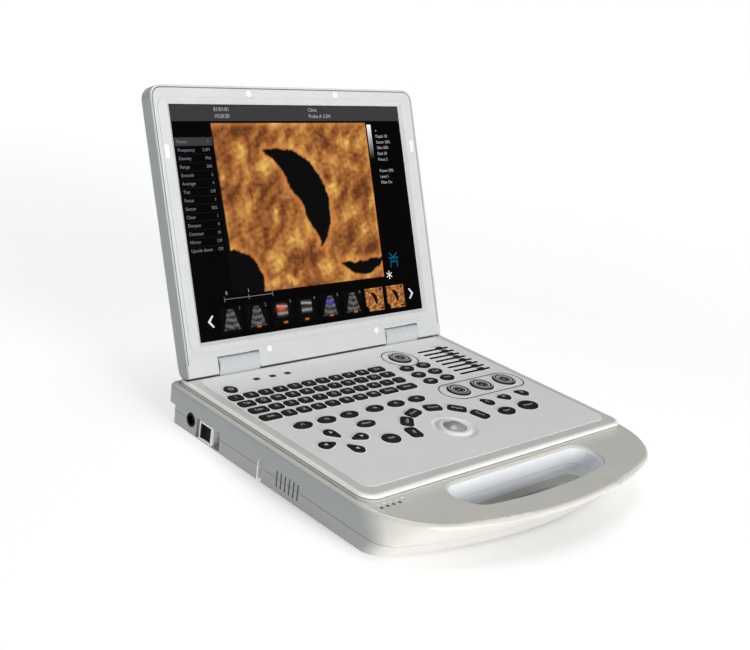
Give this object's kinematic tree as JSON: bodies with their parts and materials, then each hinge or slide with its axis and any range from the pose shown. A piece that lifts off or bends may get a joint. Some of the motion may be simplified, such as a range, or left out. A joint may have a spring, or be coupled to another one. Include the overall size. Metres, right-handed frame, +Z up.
{
  "type": "portable ultrasound scanner",
  "caption": "Laptop-style ultrasound scanner with a hinged display lid, a key deck with trackball, rotary knobs and gain slides, and a front carrying handle.",
  "frame": {"origin": "middle of the bounding box at rest, at the height of the feet", "axes": "+X to the user's right, +Y away from the user towards the lid, +Z up"},
  "size_m": [0.364, 0.4604, 0.3046],
  "materials": {
    "case_silver": "satin light warm-grey painted plastic",
    "deck_trim": "satin warm grey",
    "deck_print": "fine matte printed overlay",
    "key_black": "matte black with pale legend",
    "knob_black": "matte black, ringed top",
    "key_mat": "silicone",
    "rubber_black": "matte",
    "rubber_white": "soft matte",
    "circuit_board": "solder mask",
    "steel": "brushed",
    "aluminium": "extruded",
    "dark_plastic": "moulded, fine grain",
    "lamp_green": "clear tinted lens",
    "lens_dark": "smoked lens",
    "ball_grey": "polished",
    "display": "glossy display front",
    "battery": "shrink wrap",
    "screw_steel": "zinc plated"
  },
  "bodies": {
    "base": {"bottom_case": "case_silver", "top_case": "case_silver", "deck_frame": "deck_trim", "deck_panel": "deck_print", "key_mat": "key_mat", "keypad_board": "circuit_board", "slide_board": "circuit_board", "knob_encoders": "dark_plastic", "main_board": "circuit_board", "beamformer_board": "circuit_board", "shield_can": "steel", "power_board": "circuit_board", "heat_sink": "aluminium", "fan_frame": "dark_plastic", "battery_pack": "battery", "battery_door": "case_silver", "speaker": "dark_plastic", "case_screws": "screw_steel", "rubber_feet": "rubber_black", "dc_socket": "dark_plastic", "rocker_frame": "case_silver", "probe_panel": "dark_plastic", "probe_sockets": "dark_plastic", "io_plate": "steel", "io_sockets": "steel", "status_lamps": "lamp_green", "deck_lenses": "lens_dark", "trackball_housing": "dark_plastic", "trackball_ring": "deck_print", "hinge_barrels": "case_silver", "hinge_brackets": "steel"},
    "lid": {"lid_back_cover": "case_silver", "lid_bezel": "case_silver", "lcd_module": "dark_plastic", "lcd_glass": "display", "lid_buffers": "rubber_white", "hinge_arms": "steel", "hinge_pins": "steel", "lid_screws": "screw_steel"},
    "number_keys": {"number_keys": "key_black"},
    "letter_keys": {"letter_keys": "key_black"},
    "function_keys": {"function_keys": "key_black"},
    "arrow_keys": {"arrow_keys": "key_black"},
    "scan_keys": {"scan_keys": "key_black"},
    "power_key": {"power_key": "key_black"},
    "gain_knob": {"gain_knob": "knob_black"},
    "rotary_knob_1": {"rotary_knob_1": "knob_black"},
    "rotary_knob_2": {"rotary_knob_2": "knob_black"},
    "rotary_knob_3": {"rotary_knob_3": "knob_black"},
    "gain_slide_1": {"gain_slide_1": "knob_black"},
    "gain_slide_2": {"gain_slide_2": "knob_black"},
    "gain_slide_3": {"gain_slide_3": "knob_black"},
    "gain_slide_4": {"gain_slide_4": "knob_black"},
    "gain_slide_5": {"gain_slide_5": "knob_black"},
    "gain_slide_6": {"gain_slide_6": "knob_black"},
    "gain_slide_7": {"gain_slide_7": "knob_black"},
    "gain_slide_8": {"gain_slide_8": "knob_black"},
    "fan_rotor": {"fan_rotor": "dark_plastic"},
    "trackball": {"trackball": "ball_grey"},
    "rocker_switch": {"rocker_switch": "key_black"}
  },
  "joints": [
    {"name": "lid_hinge", "type": "hinge", "parent": "base", "child": "lid", "pos_m": [0, 0.11479, 0.054], "axis": [-1, 0, 0], "range_deg": [-112.9, 20]},
    {"name": "fan_spin", "type": "hinge", "parent": "base", "child": "fan_rotor", "pos_m": [-0.171, -0.05751, 0.0206], "axis": [1, 0, 0], "continuous": true},
    {"name": "ball_roll", "type": "hinge", "parent": "base", "child": "trackball", "pos_m": [-0.0035, -0.08271, 0.0353], "axis": [1, 0, 0], "continuous": true},
    {"name": "rocker_tilt", "type": "hinge", "parent": "base", "child": "rocker_switch", "pos_m": [-0.1746, 0.06229, 0.013], "axis": [0, 0, 1], "range_deg": [-10, 0]},
    {"name": "number_keys_press", "type": "slide", "parent": "base", "child": "number_keys", "axis": [0, 0, -1], "range_m": [0, 0.0012], "stiffness_N_per_m": 1200, "springref_m": -0.001},
    {"name": "letter_keys_press", "type": "slide", "parent": "base", "child": "letter_keys", "axis": [0, 0, -1], "range_m": [0, 0.0012], "stiffness_N_per_m": 1200, "springref_m": -0.001},
    {"name": "function_keys_press", "type": "slide", "parent": "base", "child": "function_keys", "axis": [0, 0, -1], "range_m": [0, 0.0012], "stiffness_N_per_m": 1200, "springref_m": -0.001},
    {"name": "arrow_keys_press", "type": "slide", "parent": "base", "child": "arrow_keys", "axis": [0, 0, -1], "range_m": [0, 0.0012], "stiffness_N_per_m": 1200, "springref_m": -0.001},
    {"name": "scan_keys_press", "type": "slide", "parent": "base", "child": "scan_keys", "axis": [0, 0, -1], "range_m": [0, 0.0012], "stiffness_N_per_m": 1200, "springref_m": -0.001},
    {"name": "power_key_press", "type": "slide", "parent": "base", "child": "power_key", "axis": [0, 0, -1], "range_m": [0, 0.0012], "stiffness_N_per_m": 1200, "springref_m": -0.001},
    {"name": "gain_knob_turn", "type": "hinge", "parent": "base", "child": "gain_knob", "pos_m": [0.072, 0.06929, 0.0465], "axis": [0, 0, 1], "continuous": true},
    {"name": "rotary_knob_1_turn", "type": "hinge", "parent": "base", "child": "rotary_knob_1", "pos_m": [0.068, -0.02121, 0.0465], "axis": [0, 0, 1], "continuous": true},
    {"name": "rotary_knob_2_turn", "type": "hinge", "parent": "base", "child": "rotary_knob_2", "pos_m": [0.1032, -0.02121, 0.0465], "axis": [0, 0, 1], "continuous": true},
    {"name": "rotary_knob_3_turn", "type": "hinge", "parent": "base", "child": "rotary_knob_3", "pos_m": [0.1384, -0.02121, 0.0465], "axis": [0, 0, 1], "continuous": true},
    {"name": "gain_slide_1_move", "type": "slide", "parent": "base", "child": "gain_slide_1", "axis": [1, 0, 0], "range_m": [-0.03, 0.01]},
    {"name": "gain_slide_2_move", "type": "slide", "parent": "base", "child": "gain_slide_2", "axis": [1, 0, 0], "range_m": [-0.03, 0.01]},
    {"name": "gain_slide_3_move", "type": "slide", "parent": "base", "child": "gain_slide_3", "axis": [1, 0, 0], "range_m": [-0.03, 0.01]},
    {"name": "gain_slide_4_move", "type": "slide", "parent": "base", "child": "gain_slide_4", "axis": [1, 0, 0], "range_m": [-0.03, 0.01]},
    {"name": "gain_slide_5_move", "type": "slide", "parent": "base", "child": "gain_slide_5", "axis": [1, 0, 0], "range_m": [-0.03, 0.01]},
    {"name": "gain_slide_6_move", "type": "slide", "parent": "base", "child": "gain_slide_6", "axis": [1, 0, 0], "range_m": [-0.03, 0.01]},
    {"name": "gain_slide_7_move", "type": "slide", "parent": "base", "child": "gain_slide_7", "axis": [1, 0, 0], "range_m": [-0.03, 0.01]},
    {"name": "gain_slide_8_move", "type": "slide", "parent": "base", "child": "gain_slide_8", "axis": [1, 0, 0], "range_m": [-0.03, 0.01]}
  ]
}
